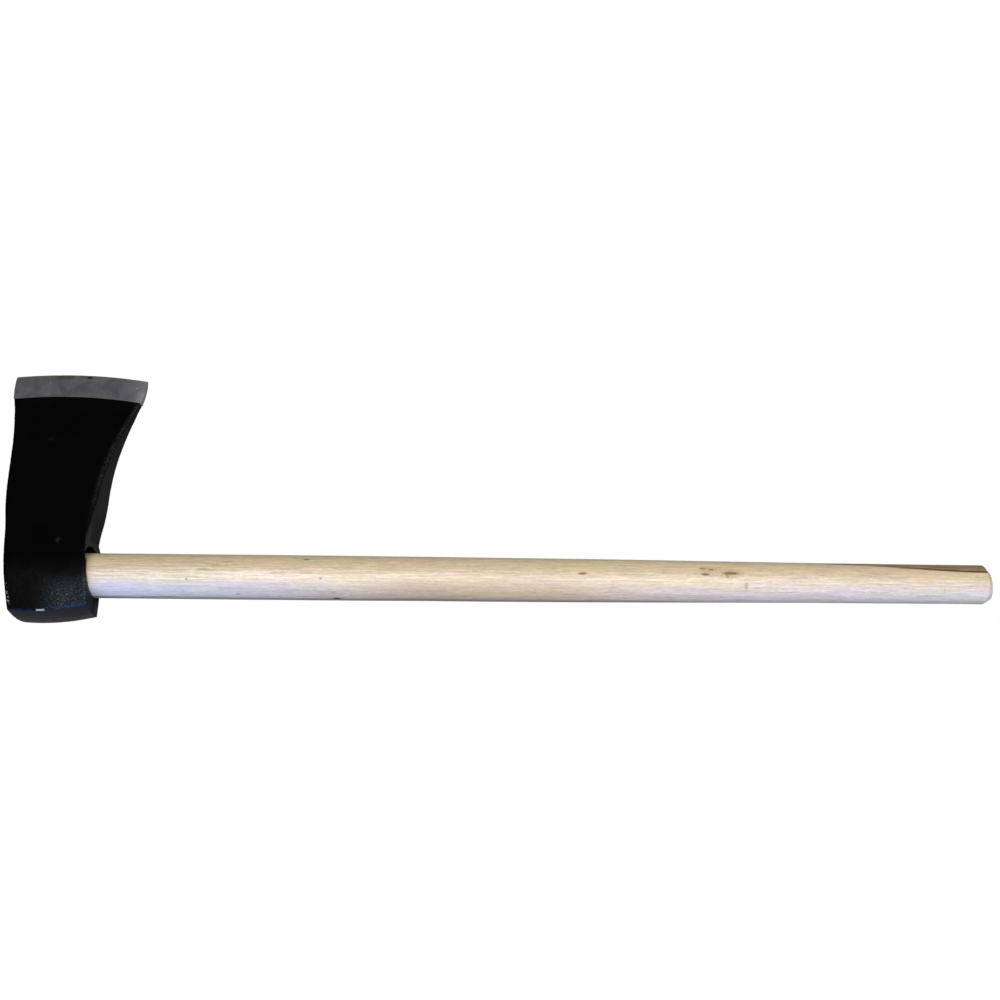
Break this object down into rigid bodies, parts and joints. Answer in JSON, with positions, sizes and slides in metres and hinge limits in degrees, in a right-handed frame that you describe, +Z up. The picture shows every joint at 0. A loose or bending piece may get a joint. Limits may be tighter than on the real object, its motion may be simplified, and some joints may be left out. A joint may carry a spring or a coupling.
{
  "type": "broad axe",
  "caption": "Axe with a black forged head, bright ground cutting edge, flat-topped round eye and a straight turned wooden handle.",
  "frame": {"origin": "centre of the base of the bounding box, on the ground that the axe lies on", "axes": "the axe lies on its side as it rests: +X along the handle towards the grip end, +Y towards the cutting edge, +Z up. The eye, the cutting edge and the grip's end touch Z = 0, so the handle's axis slopes 0.57 degrees down towards the grip and the blade leans 7.4 degrees down towards its edge."},
  "size_m": [0.8266, 0.2188, 0.0473],
  "materials": {
    "black_paint": "semi-gloss black over a forged surface",
    "ground_steel": "ground across the edge, dull grey",
    "hardwood": "pale turned hardwood, sanded, thin wax",
    "wedge_wood": "sawn end grain",
    "wedge_steel": "plain steel, hammered end"
  },
  "bodies": {
    "root": {"axe_body": "black_paint", "cutting_bit": "ground_steel", "handle": "hardwood", "wooden_wedge": "wedge_wood", "steel_wedge_1": "wedge_steel", "steel_wedge_2": "wedge_steel"}
  },
  "joints": []
}
